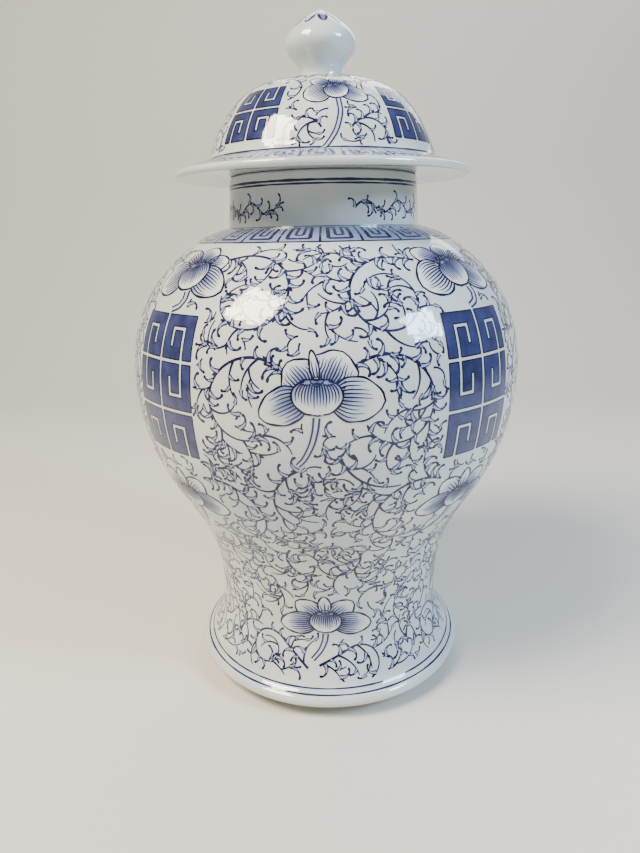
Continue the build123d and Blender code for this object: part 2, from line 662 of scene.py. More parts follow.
class Chart:
    """A stretch of a turned surface laid flat, so that angles stay true."""

    def __init__(self, name: str, stretch: np.ndarray, samples: int = 900) -> None:
        """Lays out a stretch of outline, its outside to the right of its way up.

        Args:
            name: of the helper object that carries the chart into a tree.
            stretch: rows of radius and height.
            samples: how many rows the chart has.
        """
        along = np.diff(stretch, axis=0)
        size = np.linalg.norm(along, axis=1)
        middle = (stretch[1:, 0] + stretch[:-1, 0]) / 2
        rise = np.concatenate([[0.0], np.cumsum(size / middle)])
        self.v = np.linspace(0.0, rise[-1], samples)
        self.r = np.interp(self.v, rise, stretch[:, 0])
        self.z = np.interp(self.v, rise, stretch[:, 1])
        slope = np.stack([np.gradient(self.r), np.gradient(self.z)], 1)
        slope /= np.linalg.norm(slope, axis=1)[:, None]
        outward = [(z, 0.0, -r) for r, z in slope]
        places = [(r, 0.0, z) for r, z in zip(self.r, self.z)]
        self.object = mesh_object(name, places, vectors={"outward": outward})
        self.step = float(self.v[1])

    def radius(self, v: float) -> float:
        """The surface's radius at v."""
        return float(np.interp(v, self.v, self.r))

    def at(self, height: float | None = None, radius: float | None = None) -> float:
        """The v nearest to a height, a radius, or both.

        Args:
            height: in metres.
            radius: in metres.

        Returns:
            The v.
        """
        off = np.zeros_like(self.v)
        if height is not None:
            off = off + (self.z - height) ** 2
        if radius is not None:
            off = off + (self.r - radius) ** 2
        return float(self.v[int(off.argmin())])


class FlatArt:
    """Flat painted shapes, drawn in metres or in a chart's own units."""

    def __init__(self) -> None:
        """Starts with nothing drawn."""
        self.points: list[tuple[float, float, float]] = []
        self.faces: list[tuple[int, ...]] = []
        self.tone: list[float] = []
        self.edge: list[float] = []

    def sheet(self, rows: np.ndarray, tone: Any, edge: Any = 0.0, lift: float = 0.0) -> None:
        """Adds a grid of points (rows, columns, 2): rows go up, columns to the right.

        Args:
            rows: the grid's points.
            tone: how much colour, one number or one for each point.
            edge: 1 where a stroke's outline runs.
            lift: metres above the piece's own lift.
        """
        m, n = rows.shape[:2]
        first = len(self.points)
        self.points += [(float(x), float(y), lift) for x, y in rows.reshape(-1, 2)]
        self.tone += np.broadcast_to(tone, (m, n)).ravel().tolist()
        self.edge += np.broadcast_to(edge, (m, n)).ravel().tolist()
        for i in range(m - 1):
            for j in range(n - 1):
                a = first + i * n + j
                self.faces.append((a, a + n, a + n + 1, a + 1)[::-1])

    def stroke(
        self, line: np.ndarray, width: Any, tone: Any = 1.0, outlined: bool = False, lift: float = 0.0
    ) -> None:
        """Adds a brush stroke along a line.

        Args:
            line: its points.
            width: one number, or one for each point.
            tone: how much colour, one number or one for each point.
            outlined: whether the colour gathers along both sides.
            lift: metres above the piece's own lift.
        """
        line = np.asarray(line, float)
        slope = np.gradient(line, axis=0)
        slope /= np.maximum(np.linalg.norm(slope, axis=1), 1e-12)[:, None]
        side = np.stack([-slope[:, 1], slope[:, 0]], 1) * (np.broadcast_to(width, len(line)) / 2)[:, None]
        across = (1.0, 0.0, -1.0) if outlined else (1.0, -1.0)
        rows = np.stack([line + side * k for k in across], 1)
        tones = np.broadcast_to(tone, len(line))[:, None] * np.ones(len(across))
        edges = np.abs(across) * (1.0 if outlined else 0.0) * np.ones((len(line), 1))
        self.sheet(rows, tones, edges, lift)

    def block(self, x0: float, y0: float, x1: float, y1: float, tone: float, cell: float) -> None:
        """Adds a filled rectangle in cells that follow the surface.

        Args:
            x0, y0: its lower left corner.
            x1, y1: its upper right corner.
            tone: how much colour.
            cell: the largest side of a cell.
        """
        xs = np.linspace(x0, x1, max(2, math.ceil(abs(x1 - x0) / cell) + 1))
        ys = np.linspace(y0, y1, max(2, math.ceil(abs(y1 - y0) / cell) + 1))
        self.sheet(np.stack(np.meshgrid(xs, ys), -1), tone)

    def scaled(self, size: float) -> "FlatArt":
        """The drawing, made larger or smaller."""
        self.points = [(x * size, y * size, z) for x, y, z in self.points]
        return self

    def object(self, name: str) -> bpy.types.Object:
        """The drawing as a mesh with its tone and edge."""
        return mesh_object(
            name, self.points, faces=self.faces, numbers={"tone": self.tone, "edge": self.edge}
        )


def bent(length: float, turn: Callable[[float], float], steps: int) -> np.ndarray:
    """A line from the origin that turns as it goes.

    Args:
        length: of the line.
        turn: its heading in radians at each share of its length.
        steps: how many pieces it has.

    Returns:
        Its points.
    """
    share = (np.arange(steps) + 0.5) / steps
    heading = np.array([turn(float(t)) for t in share])
    hops = np.stack([np.cos(heading), np.sin(heading)], 1) * length / steps
    return np.concatenate([[[0.0, 0.0]], np.cumsum(hops, axis=0)])


# ------------------------------------------------------------ painted motifs


class Leaf(Enum):
    """The shapes of leaf that hang along the vines: length in mm, curl in degrees, kind."""

    HOOK_LEFT = (11.5, 138.0, "hook")
    HOOK_RIGHT = (11.5, -138.0, "hook")
    FORK_LEFT = (13.0, 106.0, "fork")
    FORK_RIGHT = (13.0, -106.0, "fork")
    BUD_LEFT = (7.4, 100.0, "bud")
    BUD_RIGHT = (7.4, -100.0, "bud")

    def draw(self) -> FlatArt:
        """Draws the leaf, growing from the origin along +x and curling to one side.

        Returns:
            The drawing, in metres.
        """
        length, curl, kind = self.value
        art = FlatArt()
        horn(art, length, 3.6 if kind != "bud" else 2.8, curl, 0.0)
        if kind == "fork":
            horn(art, length * 0.68, 2.8, -curl * 1.2, -math.copysign(22, curl))
            horn(art, length * 0.66, 2.2, -curl * 0.3, -math.copysign(2, curl))
        if kind == "hook":
            drop(art, 4.6, -math.copysign(38, curl))
        return art


def horn(art: FlatArt, length: float, base: float, curl: float, lean: float) -> None:
    """Adds a horn: pale and wide at its root, then a dark curl with a bulb on its tip.

    Args:
        art: the drawing.
        length: along the horn, in mm.
        base: its width at the root, in mm.
        curl: how far it turns, in degrees, most of it near the tip.
        lean: its first direction, in degrees.
    """
    steps = 9
    share = np.linspace(0, 1, steps + 1)
    line = bent(length * MM, lambda t: math.radians(lean + curl * t**1.6), steps)
    width = 1.1 + (base - 1.1) * np.clip(1 - share / 0.7, 0, 1) ** 1.2
    width[-3:] = (1.2, 1.85, 1.0)
    tone = np.where(width > 1.5, 0.22, 0.85)
    tone[-2:] = 0.9
    art.stroke(line, width * MM, tone, outlined=True)


def drop(art: FlatArt, length: float, lean: float) -> None:
    """Adds a small dark drop beside a leaf's root."""
    line = bent(length * MM, lambda t: math.radians(lean), 3)
    art.stroke(line[1:], np.array([0.7, 1.6, 0.7]) * MM, 0.92, lift=0.02 * MM)


@dataclass(frozen=True)
class Petal:
    """One petal of a painted flower, from its root to its tip, in mm."""

    root: Point
    tip: Point
    width: float
    fullness: float = 0.55
    hatch: int = 9
    reach: float = 0.55
    shade: float = 0.5
    wave: float = 0.0
    lift: float = 0.0

    def at(self, t: np.ndarray, s: np.ndarray) -> np.ndarray:
        """Points of the petal.

        Args:
            t: shares of its length.
            s: how far across, -1 to 1.

        Returns:
            The points, in metres.
        """
        root, tip = np.array(self.root), np.array(self.tip)
        axis = tip - root
        side = np.array([axis[1], -axis[0]]) / np.linalg.norm(axis)
        half = self.width / 2 * np.sin(math.pi * np.clip(t, 0, 1) ** 0.85) ** self.fullness
        half = half * (1 + self.wave * np.sin(17 * t + 2.2 * np.sign(s)))
        bulge = t + 0.10 * (1 - s**2) * np.sin(math.pi * t)
        flat = root + bulge[..., None] * axis * 0.94 + (half * s)[..., None] * side
        return flat * MM

    def draw(self, art: FlatArt, dice: random.Random) -> None:
        """Adds the petal's wash, its hatching and its outline.

        Args:
            art: the drawing.
            dice: varies the hatching's length.
        """
        t, s = np.meshgrid(np.linspace(0.02, 0.99, 9), np.linspace(-0.97, 0.97, 9), indexing="ij")
        fade = np.clip(1 - t / 0.8, 0, 1) ** 1.2 * self.shade * 1.25
        art.sheet(self.at(t, s), fade * (0.75 + 0.25 * np.cos(5 * s)), lift=self.lift * MM)
        lift = (self.lift + 0.03) * MM
        for k in range(self.hatch):
            across = (k + 0.5) / self.hatch * 1.8 - 0.9
            far = self.reach * dice.uniform(0.75, 1.15) * (1 - 0.25 * abs(across))
            t = np.linspace(0.1, 0.1 + far, 7)
            line = self.at(t, np.full(7, across))
            width = np.array([0.7, 0.85, 0.82, 0.72, 0.6, 0.45, 0.18]) * MM
            art.stroke(line, width, np.linspace(1.0, 0.7, 7), lift=lift)
        left = self.at(np.linspace(0.0, 1.0, 18) ** 0.9, np.full(18, -1.0))
        right = self.at(np.linspace(1.0, 0.0, 18) ** 0.9, np.full(18, 1.0))
        wobble = 1.0 + 0.25 * np.sin(np.arange(35) * 0.9 + self.width)
        art.stroke(np.concatenate([left, right[1:]]), wobble * MM, 1.0, lift=lift)


@dataclass(frozen=True)
class Flower:
    """A painted flower: its petals from back to front, its stamens and its stalk, in mm.

    A stamen is an x, a y and its half width and half height.
    """

    petals: tuple[Petal, ...]
    stamens: tuple[tuple[float, float, float, float], ...]
    stalk: tuple[Point, ...]
    line: float = 0.6
    stamen_points: int = 13

    def draw(self, dice: random.Random) -> FlatArt:
        """Draws the flower.

        Args:
            dice: varies the petals' hatching.

        Returns:
            The drawing, in metres, centred on the cup.
        """
        art = FlatArt()
        for petal in self.petals:
            petal.draw(art, dice)
        for x, y, wide, tall in self.stamens:
            turns = np.linspace(0, TAU, self.stamen_points)
            ring = np.array([(x + wide * math.cos(a), y + tall * math.sin(a)) for a in turns])
            art.stroke(ring * MM, self.line * MM, 0.95, lift=0.24 * MM)
        self.draw_stalk(art)
        return art

    def draw_stalk(self, art: FlatArt, steps: int = 22) -> None:
        """Adds the double-lined stalk that runs down from the flower.

        Args:
            art: the drawing.
            steps: how many points its line has.
        """
        points = np.array(self.stalk, float)
        share = np.linspace(0, len(points) - 1, steps)
        line = np.stack([np.interp(share, range(len(points)), points[:, k]) for k in (0, 1)], 1)
        for _ in range(3):
            line[1:-1] = (line[:-2] + line[1:-1] * 2 + line[2:]) / 4
        width = np.linspace(4.4, 3.0, steps) * MM
        art.stroke(line * MM, width, 0.14, outlined=True, lift=0.06 * MM)


# An open flower with a hatched cup in front and a spike behind it.
BELLY_FLOWER = Flower(
    (
        Petal((-4, 5), (-17, 20), 21, hatch=10, reach=0.66, shade=0.6, wave=0.05),
        Petal((5, 5), (15, 26), 27, hatch=14, reach=0.62, wave=0.06),
        Petal((-6, 1), (-34, -12), 21, hatch=9, reach=0.55, shade=0.7, wave=0.02, lift=0.05),
        Petal((7, 0), (39, -3), 25, hatch=10, reach=0.55, shade=0.4, wave=0.02, lift=0.05),
        Petal((0, 9), (-3.2, 27), 5, hatch=2, reach=0.5, shade=0.2, lift=0.1),
        Petal((0, 10), (0, -11), 28, fullness=0.42, hatch=15, reach=0.6, shade=0.55, lift=0.15),
    ),
    ((-6, 8.6, 3.0, 1.65), (0, 9.4, 3.6, 1.98), (6, 8.4, 3.0, 1.65), (0, 7.2, 1.8, 0.99)),
    ((-0.5, -11), (-1.2, -18), (-3.5, -27), (-8, -36), (-12, -40)),
)

# A spreading flower seen from the side, a bud standing over its cup.
FOOT_FLOWER = Flower(
    (
        Petal((-3, 3), (-19, 15), 15, hatch=7, reach=0.5),
        Petal((3, 3), (18, 15), 15, hatch=7, reach=0.5),
        Petal((-5, 0), (-31, -4), 16, hatch=9, reach=0.6, shade=0.65, lift=0.05),
        Petal((5, 0), (31, -4), 16, hatch=9, reach=0.6, shade=0.65, lift=0.05),
        Petal((0, 6), (-1, 20), 8, hatch=3, reach=0.4, shade=0.3, lift=0.1),
        Petal((0, 7), (0, -9), 20, fullness=0.42, hatch=13, reach=0.6, shade=0.6, lift=0.15),
    ),
    ((-4, 6.4, 2.2, 1.21), (0, 7.2, 2.8, 1.54), (4, 6.4, 2.2, 1.21)),
    ((0, -9), (-0.5, -14), (-3, -20), (-8, -26)),
    line=0.55,
)

# A full flower with broad hanging petals.
SHOULDER_FLOWER = Flower(
    (
        Petal((-2, 5), (-22, 14), 15, hatch=8, reach=0.6, shade=0.6),
        Petal((3, 6), (8, 20), 17, hatch=7, reach=0.6, shade=0.6),
        Petal((7, 4), (25, 8), 14, hatch=8, reach=0.6, shade=0.6),
        Petal((-4, 0), (-26, -11), 22, hatch=12, reach=0.7, shade=0.35, lift=0.05),
        Petal((5, 0), (30, -12), 18, hatch=10, reach=0.7, shade=0.6, lift=0.05),
        Petal((0, 6), (6, -12), 22, fullness=0.42, hatch=13, reach=0.65, shade=0.7, lift=0.15),
    ),
    ((-4, 6.5, 1.5, 1.2), (-1, 8, 1.5, 1.2), (2, 7.6, 1.5, 1.2), (5, 6.4, 1.5, 1.2)),
    ((6, -12), (7, -16), (5, -20), (0, -22)),
    stamen_points=11,
)


def fret_panel(columns: int, rows: int, width: float, dice: random.Random) -> FlatArt:
    """A panel of square key frets, each a thick band that turns in on itself.

    Args:
        columns: frets side by side, the halves mirrored.
        rows: frets above one another, every other row upside down.
        width: of the panel, in mm.
        dice: varies how much colour each band holds.

    Returns:
        The panel, centred on the origin.
    """
    gap = 2.6 * math.sqrt(width / 62)
    side = (width - gap * (columns - 1)) / columns
    band = (side - 2 * gap) / 3
    inner, reach = band + gap, side - band - gap
    art = FlatArt()
    for column in range(columns):
        for row in range(rows):
            x0 = -width / 2 + column * (side + gap)
            y0 = -(side * rows + gap * (rows - 1)) / 2 + row * (side + gap)
            flip_x, flip_y = column >= columns / 2, row % 2 == 1

            def at(x: float, y: float) -> Point:
                """A place on this fret, turned over as the panel asks.

                Args:
                    x, y: the place in mm from the fret's lower left corner.

                Returns:
                    The place on the panel, in metres.
                """
                return (
                    (x0 + (side - x if flip_x else x)) * MM,
                    (y0 + (side - y if flip_y else y)) * MM,
                )

            corners = (
                (0, 0), (0, side), (side, side), (side, 0), (inner, 0), (inner, reach),
                (inner + band, reach), (inner + band, band), (side - band, band),
                (side - band, side - band), (band, side - band), (band, 0), (0, 0),
            )
            for a, b in (
                ((0, 0), (band, side)),
                ((band, side - band), (side, side)),
                ((side - band, 0), (side, side - band)),
                ((inner, 0), (side - band, band)),
                ((inner, band), (inner + band, reach)),
            ):
                xs, ys = zip(at(*a), at(*b))
                art.block(min(xs), min(ys), max(xs), max(ys), dice.uniform(0.72, 0.8), 4 * MM)
            for a, b in zip(corners, corners[1:]):
                line = np.linspace(at(*a), at(*b), 7)
                art.stroke(line, 0.75 * MM, 1.0, lift=0.03 * MM)
    return art


def key_unit(width: float, height: float) -> FlatArt:
    """One unit of the key-pattern band, its left edge at x = 0.

    Args:
        width: of the unit, in chart units.
        height: of the band, in chart units.

    Returns:
        The drawing, in chart units.
    """
    art = FlatArt()
    art.block(0, 0, width, height, 0.33, width / 6)
    for x, low, high, thick, tone in (
        (0.04, 0.0, 1.0, 0.06, 1.0),
        (0.24, 0.12, 0.88, 0.10, 0.95),
        (0.42, 0.3, 0.88, 0.08, 0.9),
        (0.62, 0.3, 0.88, 0.08, 0.9),
        (0.80, 0.12, 0.88, 0.10, 0.95),
    ):
        line = np.linspace((x * width, low * height), (x * width, high * height), 6)
        art.stroke(line, thick * width, tone, lift=0.03 * MM)
    for y, left, right, tone in (
        (0.12, 0.24, 0.8, 0.95),
        (0.88, 0.24, 0.42, 0.95),
        (0.88, 0.62, 0.8, 0.95),
        (0.3, 0.42, 0.62, 0.9),
    ):
        line = np.linspace((left * width, y * height), (right * width, y * height), 5)
        art.stroke(line, 0.07 * width, tone, lift=0.03 * MM)
    return art


# --------------------------------------------------------------------- vines


MOTIF = -1  # the owner of ground that a flower or a panel stands on
NOBODY = -9


@dataclass(frozen=True)
class Scroll:
    """A main vine laid as given: its start, its first heading and its curve.

    Angles are in degrees and sizes in mm.  A positive radius turns to the left,
    `tighten` is how much of the radius is lost on the way, and `lead` is how far
    the vine runs straight before it turns.
    """

    degrees: float
    height: float
    heading: float
    radius: float
    turn: float
    tighten: float = 0.0
    width: float = 1.8
    mirrored: bool = True
    lead: float = 0.0


@dataclass
class Stem:
    """A grown vine: rows of x, v and heading, and its width along them in metres."""

    track: np.ndarray
    width: np.ndarray
    owner: int


class Field:
    """The ground that vines grow over, one tile that repeats round the pot."""

    STEP = 1.5 * MM
    MOST_SPOTS = 60000

    def __init__(
        self, chart: Chart, low: float, high: float, period: float, seed: int, leaf_size: float = 1.0
    ) -> None:
        """Starts empty between two values of v.

        Args:
            chart: the surface.
            low: the lowest v a vine may reach.
            high: the highest.
            period: the tile's width in radians.
            seed: for everything random on this ground.
            leaf_size: how large its leaves are beside those of the belly.
        """
        self.leaf_size = leaf_size
        self.chart, self.low, self.high, self.period = chart, low, high, period
        self.dice = random.Random(seed)
        self.taken = np.zeros((self.MOST_SPOTS, 4))
        self.count = 0
        self.stems: list[Stem] = []
        self.leaves: dict[Leaf, list[tuple[float, float, float]]] = {leaf: [] for leaf in Leaf}

    def gap(self, x: float, v: float, skip: int = NOBODY) -> float:
        """Metres from a spot to the nearest thing that stands on the ground.

        Args:
            x, v: the spot.
            skip: an owner whose things don't count.

        Returns:
            The distance, 0 outside the ground.
        """
        if not self.low < v < self.high:
            return 0.0
        taken = self.taken[: self.count]
        away = (taken[:, 0] - x + self.period / 2) % self.period - self.period / 2
        off = np.hypot(away, taken[:, 1] - v) * self.chart.radius(v) - taken[:, 2]
        off = off[taken[:, 3] != skip]
        return float(off.min()) if len(off) else 1.0

    def stamp(self, spots: Iterable[Point], size: float, owner: int = MOTIF) -> None:
        """Marks spots as taken.

        Args:
            spots: their x and v.
            size: the radius taken round each, in metres.
            owner: the vine's number, or MOTIF.
        """
        rows = [(x, v, size, owner) for x, v in spots]
        self.taken[self.count : self.count + len(rows)] = np.array(rows).reshape(-1, 4)
        self.count += len(rows)

    def stamp_art(self, art: FlatArt, x: float, v: float, margin: float) -> None:
        """Marks the ground under a motif.

        Args:
            art: the motif, in metres.
            x, v: its place.
            margin: how far round it is taken, in metres.
        """
        scale = 1 / self.chart.radius(v)
        self.stamp([(x + px * scale, v + py * scale) for px, py, _ in art.points[::2]], margin)

    def grow(
        self, x: float, v: float, heading: float, radius: float, turn: float,
        tighten: float = 0.0, room: float = 2.6 * MM, parent: int = NOBODY, hidden: int = 4,
        lead: float = 0.0,
    ) -> np.ndarray:
        """Grows a vine until it has turned enough or meets something.

        Args:
            x, v: its start.
            heading: its first direction in radians, 0 to the right.
            radius: of its curve in metres, positive to the left.
            turn: how far it may turn in all, in radians.
            tighten: how much smaller its radius gets over the whole turn.
            room: how clear it stays of everything else.
            parent: what it grows out of, which it may touch at first.
            hidden: for how many steps it may.
            lead: how far it runs straight before it turns, in metres.

        Returns:
            Rows of x, v and heading.
        """
        track = [(x, v, heading)]
        turned = 0.0
        while turned < turn:
            if len(track) * self.STEP > lead:
                now = radius * (1 - tighten * turned / turn)
                heading += self.STEP / now
                turned += abs(self.STEP / now)
            scale = self.STEP / self.chart.radius(v)
            x, v = x + math.cos(heading) * scale, v + math.sin(heading) * scale
            if self.gap(x, v, parent if len(track) <= hidden else NOBODY) < room:
                break
            older = np.array(track[:-7])
            if len(older):
                away = np.hypot(*(older[:, :2] - (x, v)).T).min() * self.chart.radius(v)
                if away < room + 0.8 * MM:
                    break
            track.append((x, v, heading))
        return np.array(track)

    def keep(self, track: np.ndarray, base: float, tip: float) -> Stem:
        """Keeps a grown vine and marks its ground.

        Args:
            track: rows of x, v and heading.
            base: its width at its start, in metres.
            tip: its width at its end.

        Returns:
            The kept vine.
        """
        stem = Stem(track, np.linspace(base, tip, len(track)), len(self.stems))
        self.stems.append(stem)
        self.stamp(track[:, :2], base / 2, stem.owner)
        return stem

    def lay(self, scrolls: Sequence[Scroll]) -> None:
        """Lays the main vines and their mirror images, slightly different each.

        Args:
            scrolls: the vines in the order they are laid.
        """
        for scroll in scrolls:
            for side in (1, -1) if scroll.mirrored else (1,):
                heading = math.radians(scroll.heading + self.dice.uniform(-5, 5))
                track = self.grow(
                    math.radians(scroll.degrees) * side,
                    self.chart.at(height=scroll.height * MM),
                    heading if side > 0 else math.pi - heading,
                    scroll.radius * MM * side * self.dice.uniform(0.95, 1.05),
                    math.radians(scroll.turn),
                    scroll.tighten,
                    room=1.3 * MM,
                    parent=MOTIF,
                    hidden=14,
                    lead=scroll.lead * MM,
                )
                turned = math.degrees(abs(track[-1, 2] - track[0, 2]))
                place = f"{scroll.degrees * side:.0f} degrees, {scroll.height:.0f} mm"
                LOG.info("vine from %s turned %.0f of %.0f", place, turned, scroll.turn)
                if len(track) > 6:
                    self.keep(track, scroll.width * MM, 0.9 * MM)

    def wave(self, x: float, v: float, length: float, swing: float, wavelength: float) -> None:
        """Lays one vine that runs sideways and swings up and down.

        Args:
            x, v: its start.
            length: in metres.
            swing: its steepest heading, in radians.
            wavelength: in metres.
        """
        track = []
        for step in range(int(length / self.STEP)):
            heading = swing * math.cos(TAU * step * self.STEP / wavelength)
            track.append((x, v, heading))
            scale = self.STEP / self.chart.radius(v)
            x, v = x + math.cos(heading) * scale, v + math.sin(heading) * scale
        self.keep(np.array(track), 1.2 * MM, 0.8 * MM)

    def branch(self, every: float, radii: Point, longest: float, shortest: float, levels: int) -> None:
        """Lets side branches curl off every vine, on alternate sides.

        Args:
            every: metres between them.
            radii: the smallest and largest radius of their curl, in metres.
            longest: a branch's greatest length, in metres.
            shortest: shorter ones are left out.
            levels: how many times branches branch again.
        """
        fresh = list(self.stems)
        for level in range(levels):
            grown = []
            for stem in fresh:
                side = self.dice.choice((1, -1))
                at = self.dice.uniform(0.3, 0.9) * every
                while at < (len(stem.track) - 2) * self.STEP:
                    x, v, heading = stem.track[int(at / self.STEP)]
                    best = np.empty((0, 3))
                    for flip in (side, -side):
                        for curl in (1, -1):
                            radius = self.dice.uniform(*radii)
                            lean = flip * math.radians(self.dice.uniform(28, 48))
                            track = self.grow(
                                x, v, heading + lean, radius * flip * curl, longest / radius,
                                0.35, 3.3 * MM, stem.owner,
                            )
                            if len(track) > len(best) + (4 if curl < 0 else 0):
                                best = track
                        if len(best) * self.STEP > shortest:
                            break
                    if len(best) * self.STEP > shortest:
                        width = 1.45 - 0.2 * level
                        grown.append(self.keep(best, width * MM, 0.7 * MM))
                    side = -side
                    at += every * self.dice.uniform(0.8, 1.2)
            fresh = grown

    def try_leaf(self, leaf: Leaf, x: float, v: float, heading: float, room: float) -> bool:
        """Hangs a leaf if there is room for it.

        Args:
            leaf: its shape.
            x, v: where it joins its vine.
            heading: the way it grows, in radians.
            room: how clear it stays of everything, in metres.

        Returns:
            Whether it was hung.
        """
        length, curl, kind = leaf.value
        reach = length * self.leaf_size * MM / self.chart.radius(v)
        arms = [(0.42, heading), (0.74, heading + math.radians(curl) * 0.22)]
        if kind == "fork":
            arms.append((0.52, heading - math.radians(curl) * 0.5))
        spots = [(x + math.cos(a) * reach * s, v + math.sin(a) * reach * s) for s, a in arms]
        if min(self.gap(*spot) for spot in spots) < room:
            return False
        self.leaves[leaf].append((x, v, heading))
        self.stamp(spots, 1.5 * MM)
        return True

    def leaf_out(self, every: float, room: float = 1.25 * MM) -> None:
        """Hangs leaves along every vine and at its tip, and drops short vines left bare.

        Args:
            every: metres between leaves.
            room: how clear they stay of everything, in metres.
        """
        leafy = []
        for stem in self.stems:
            before = self.count
            x, v, heading = stem.track[-1]
            side = self.dice.choice((1, -1))
            tips = (Leaf.FORK_LEFT, Leaf.BUD_LEFT) if side > 0 else (Leaf.FORK_RIGHT, Leaf.BUD_RIGHT)
            any(self.try_leaf(kind, x, v, heading, 0.6 * MM) for kind in tips)
            at = self.dice.uniform(0.2, 0.8) * every
            while at < (len(stem.track) - 1) * self.STEP:
                x, v, heading = stem.track[int(at / self.STEP)]
                for flip in (side, -side):
                    kinds = [Leaf.FORK_LEFT, Leaf.HOOK_LEFT, Leaf.BUD_LEFT] if flip > 0 else [
                        Leaf.FORK_RIGHT, Leaf.HOOK_RIGHT, Leaf.BUD_RIGHT
                    ]
                    if self.dice.random() < 0.45:
                        kinds[:2] = kinds[1::-1]
                    lean = heading + flip * math.radians(self.dice.uniform(34, 56))
                    if any(self.try_leaf(kind, x, v, lean, room) for kind in kinds):
                        break
                side = -side
                at += every * self.dice.uniform(0.8, 1.2)
            if self.count > before or len(stem.track) > 9:
                leafy.append(stem)
        self.stems = leafy

    def fill(self, tries: int) -> None:
        """Grows short sprigs on bare ground.

        Args:
            tries: how many places are tried.
        """
        for _ in range(tries):
            x = self.dice.uniform(-0.5, 0.5) * self.period
            v = self.dice.uniform(self.low, self.high)
            if self.gap(x, v) < 3.1 * MM:
                continue
            heading = self.dice.uniform(0, TAU)
            radius = self.dice.uniform(6, 11) * MM * self.dice.choice((1, -1))
            track = self.grow(x, v, heading, radius, 12 * MM / abs(radius), 0.2, 1.9 * MM)
            if len(track) > 3:
                self.keep(track, 1.1 * MM, 0.8 * MM)

    def drawn(self) -> FlatArt:
        """Draws all the vines of the tile.

        Returns:
            The drawing, in chart units.
        """
        art = FlatArt()
        for stem in self.stems:
            radius = np.interp(stem.track[:, 1], self.chart.v, self.chart.r)
            tone = np.linspace(0.95, 0.85, len(stem.track))
            art.stroke(stem.track[:, :2], stem.width / radius, tone)
        return art


# --------------------------------------------------------------- sub-assemblies


@dataclass
class Painter:
    """Lays painted pieces on one turned surface."""

    body: str
    chart: Chart
    turn: float
    cobalt: bpy.types.Material
    tree: Workshop

    def lay(
        self, name: str, art: FlatArt, places: Sequence[tuple[float, float, float]],
        lift: float, copies: int = 4, flat: bool = False,
    ) -> bpy.types.Object:
        """Lays one motif at its places, repeated round the axis.

        Args:
            name: the piece's name.
            art: the motif, in metres, or in chart units if flat.
            places: x, v and turn of each.
            lift: metres above the glaze.
            copies: how many times the tile repeats.
            flat: whether the motif is already in chart units.

        Returns:
            The piece.
        """
        motif = art.object(f"{name}_motif")
        spots = mesh_object(
            f"{name}_places",
            [(x, v, 0.0) for x, v, _ in places],
            numbers={
                "turn": [t for _, _, t in places],
                "size": [1.0 if flat else 1 / self.chart.radius(v) for _, v, _ in places],
            },
        )
        piece = self.tree.make(
            name, Motif=motif, Places=spots, Chart=self.chart.object, Chart_start=0.0,
            Chart_step=self.chart.step, Chart_last=len(self.chart.v) - 1.001, Copies=copies,
            Lift=lift, Turn=self.turn, Material=self.cobalt,
        )
        for helper in (motif, spots):
            bpy.data.objects.remove(helper)
        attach(piece, self.body)
        LOG.info("%s: %d faces", name, len(piece.data.polygons))
        return piece

    def rings(self, name: str, lines: Sequence[tuple[float, float, float]]) -> None:
        """Lays lines round the axis.

        Args:
            name: the piece's name.
            lines: a v, a width in metres and a tone for each.
        """
        art = FlatArt()
        for v, width, tone in lines:
            x = np.linspace(0, TAU / 4, 49)
            wander = 1 + 0.16 * np.sin(4 * x * 3 + v * 40) + 0.1 * np.sin(4 * x * 8 + v * 90)
            line = np.stack([x, np.full_like(x, v)], 1)
            art.stroke(line, width * wander / self.chart.radius(v), tone)
        self.lay(name, art, [(0, 0, 0)], 0.08 * MM, flat=True)

    def vines(self, name: str, ground: Field) -> None:
        """Lays the vines and leaves that grow on a ground.

        Args:
            name: what the pieces' names start with.
            ground: the vines and leaves of one tile.
        """
        self.lay(f"{name}_vines", ground.drawn(), [(0, 0, 0)], 0.08 * MM, flat=True)
        for leaf, places in ground.leaves.items():
            if places:
                drawn = leaf.draw().scaled(ground.leaf_size)
                self.lay(f"{name}_leaves_{leaf.name.lower()}", drawn, places, 0.1 * MM)


@dataclass
class Finishes:
    """The object's three finishes."""

    glaze: bpy.types.Material = field(default_factory=WhiteGlaze("White glaze").make)
    cobalt: bpy.types.Material = field(default_factory=CobaltPaint("Cobalt under glaze").make)
    clay: bpy.types.Material = field(
        default_factory=BareClay("Bare clay", Gloss.BARE, 0.0, 0.0003, 90.0).make
    )


def glazed_skin(
    name: str, body: str, nodes: Sequence[str], tree: Workshop, glaze: bpy.types.Material, around: int = 216
) -> np.ndarray:
    """Turns the closed glazed skin that stands for some CAD nodes.

    Args:
        name: the piece's name.
        body: the body it rides on.
        nodes: the CAD nodes it replaces.
        tree: the turned-skin tree.
        glaze: its material.
        around: segments round the axis.

    Returns:
        The skin's outline, (radius, height) from the axis below to the axis above.
    """
    path = smoothed(seam_outline(nodes))
    outline = mesh_object(f"{name}_outline", [(r, 0.0, z) for r, z in path])
    skin = tree.make(name, Outline=outline, Rows=len(path), Around=around, Material=glaze)
    bpy.data.objects.remove(outline)
    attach(skin, body)
    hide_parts(*nodes)
    LOG.info("%s: %d faces", name, len(skin.data.polygons))
    return path


def dress_clay(node: str, clay: bpy.types.Material) -> None:
    """Gives a CAD node the bare clay's look.

    Args:
        node: its name.
        clay: the material.
    """
    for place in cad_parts[node].material_slots:
        place.material = clay
    LOG.info("%s: bare clay", node)


